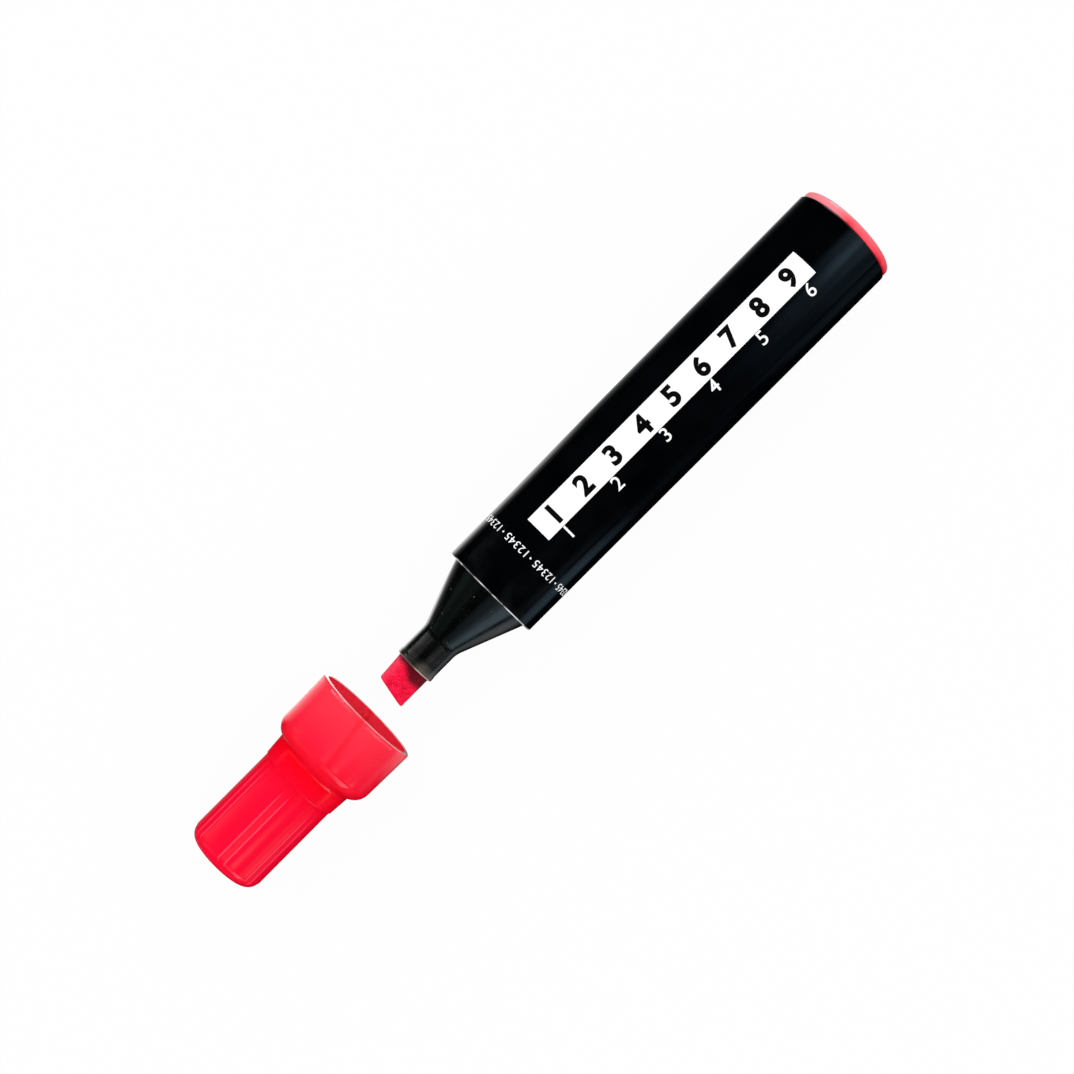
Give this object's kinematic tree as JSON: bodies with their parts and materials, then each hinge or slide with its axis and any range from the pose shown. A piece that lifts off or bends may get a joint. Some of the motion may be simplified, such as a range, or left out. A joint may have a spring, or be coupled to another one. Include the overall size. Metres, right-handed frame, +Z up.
{
  "type": "permanent marker",
  "caption": "Round permanent marker lying on its side, with a slanted felt nib in a conical nose, a rear end plug, and a ridged cap pulled off along its axis.",
  "frame": {"origin": "on the surface that the marker lies on, under the middle of its whole length with the cap pulled off", "axes": "+X runs along the marker's axis from the cap to the end plug, +Z is up and the printed side faces up"},
  "size_m": [0.171, 0.0226, 0.0227],
  "materials": {
    "barrel_plastic": "gloss",
    "nose_plastic": "satin",
    "nib_felt": "pressed felt, wet with red ink",
    "ink_fibre": "fibre soaked with red ink",
    "reservoir_film": "thin clear film",
    "red_plastic": "gloss",
    "seal_plastic": "natural polyethylene"
  },
  "bodies": {
    "marker": {"barrel": "barrel_plastic", "nose": "nose_plastic", "nib": "nib_felt", "reservoir_core": "ink_fibre", "reservoir_wrap": "reservoir_film", "end_plug": "red_plastic"},
    "cap": {"cap_shell": "red_plastic", "inner_cap": "seal_plastic"}
  },
  "joints": [
    {"name": "cap_slide", "type": "slide", "parent": "marker", "child": "cap", "axis": [1, 0, 0], "range_m": [0, 0.0331]}
  ]
}
